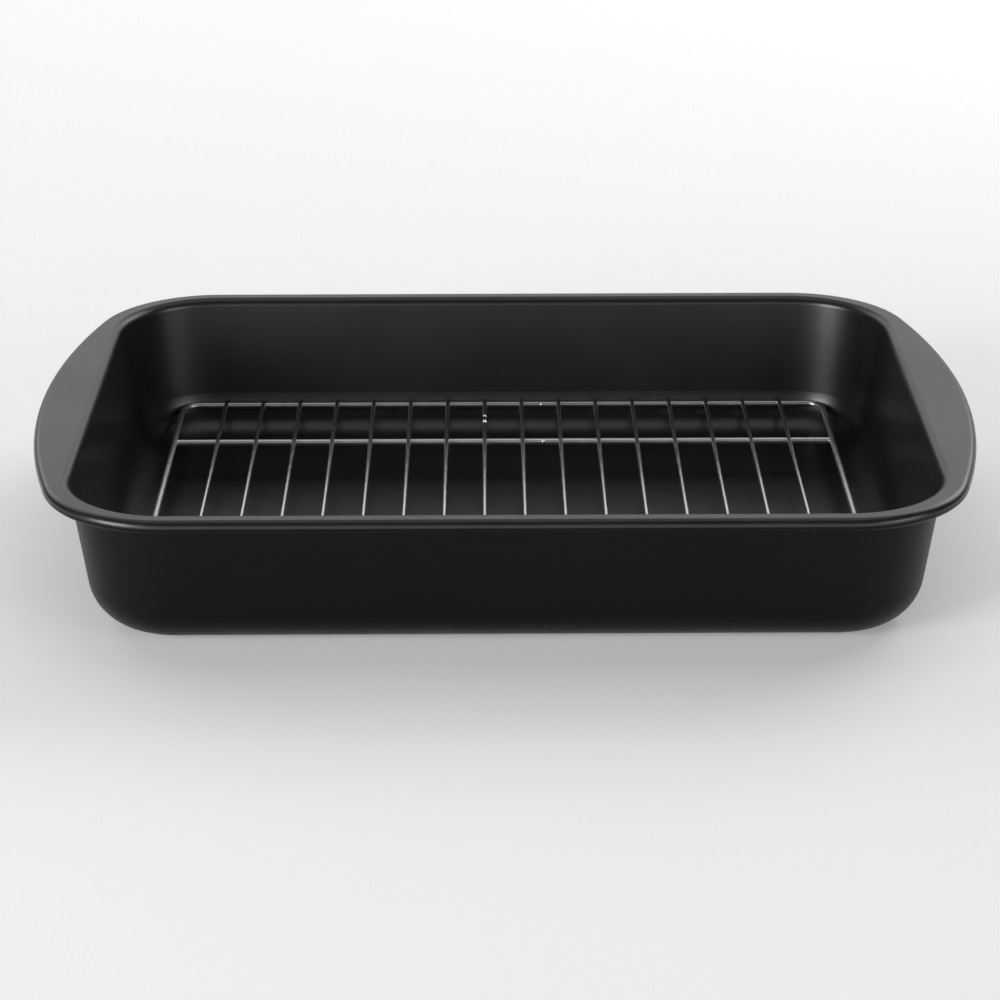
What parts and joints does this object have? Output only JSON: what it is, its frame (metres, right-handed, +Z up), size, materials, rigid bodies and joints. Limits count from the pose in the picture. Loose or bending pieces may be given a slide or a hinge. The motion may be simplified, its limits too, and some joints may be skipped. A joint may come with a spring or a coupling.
{
  "type": "roasting pan with rack",
  "caption": "Deep rectangular non-stick roasting pan with curled rim and flat wing handles at both ends, and a loose welded wire rack that rests on its bottom corners.",
  "frame": {"origin": "on the table, under the middle of the pan's flat base", "axes": "+X along the pan from wing handle to wing handle, +Y across it away from the viewer, +Z up"},
  "size_m": [0.43, 0.302, 0.067],
  "materials": {
    "nonstick_steel": "satin black non-stick coating on drawn sheet steel",
    "chromed_wire": "bright chrome plate on steel wire"
  },
  "bodies": {
    "pan": {"pan_body": "nonstick_steel"},
    "rack": {"rack_frame": "chromed_wire", "support_wire_rear": "chromed_wire", "support_wire_front": "chromed_wire", "cross_wire_01": "chromed_wire", "cross_wire_02": "chromed_wire", "cross_wire_03": "chromed_wire", "cross_wire_04": "chromed_wire", "cross_wire_05": "chromed_wire", "cross_wire_06": "chromed_wire", "cross_wire_07": "chromed_wire", "cross_wire_08": "chromed_wire", "cross_wire_09": "chromed_wire", "cross_wire_10": "chromed_wire", "cross_wire_11": "chromed_wire", "cross_wire_12": "chromed_wire", "cross_wire_13": "chromed_wire", "cross_wire_14": "chromed_wire", "cross_wire_15": "chromed_wire", "cross_wire_16": "chromed_wire"}
  },
  "joints": [
    {"name": "rack_lift", "type": "slide", "parent": "pan", "child": "rack", "axis": [0, 0, 1], "range_m": [0, 0.1]}
  ]
}
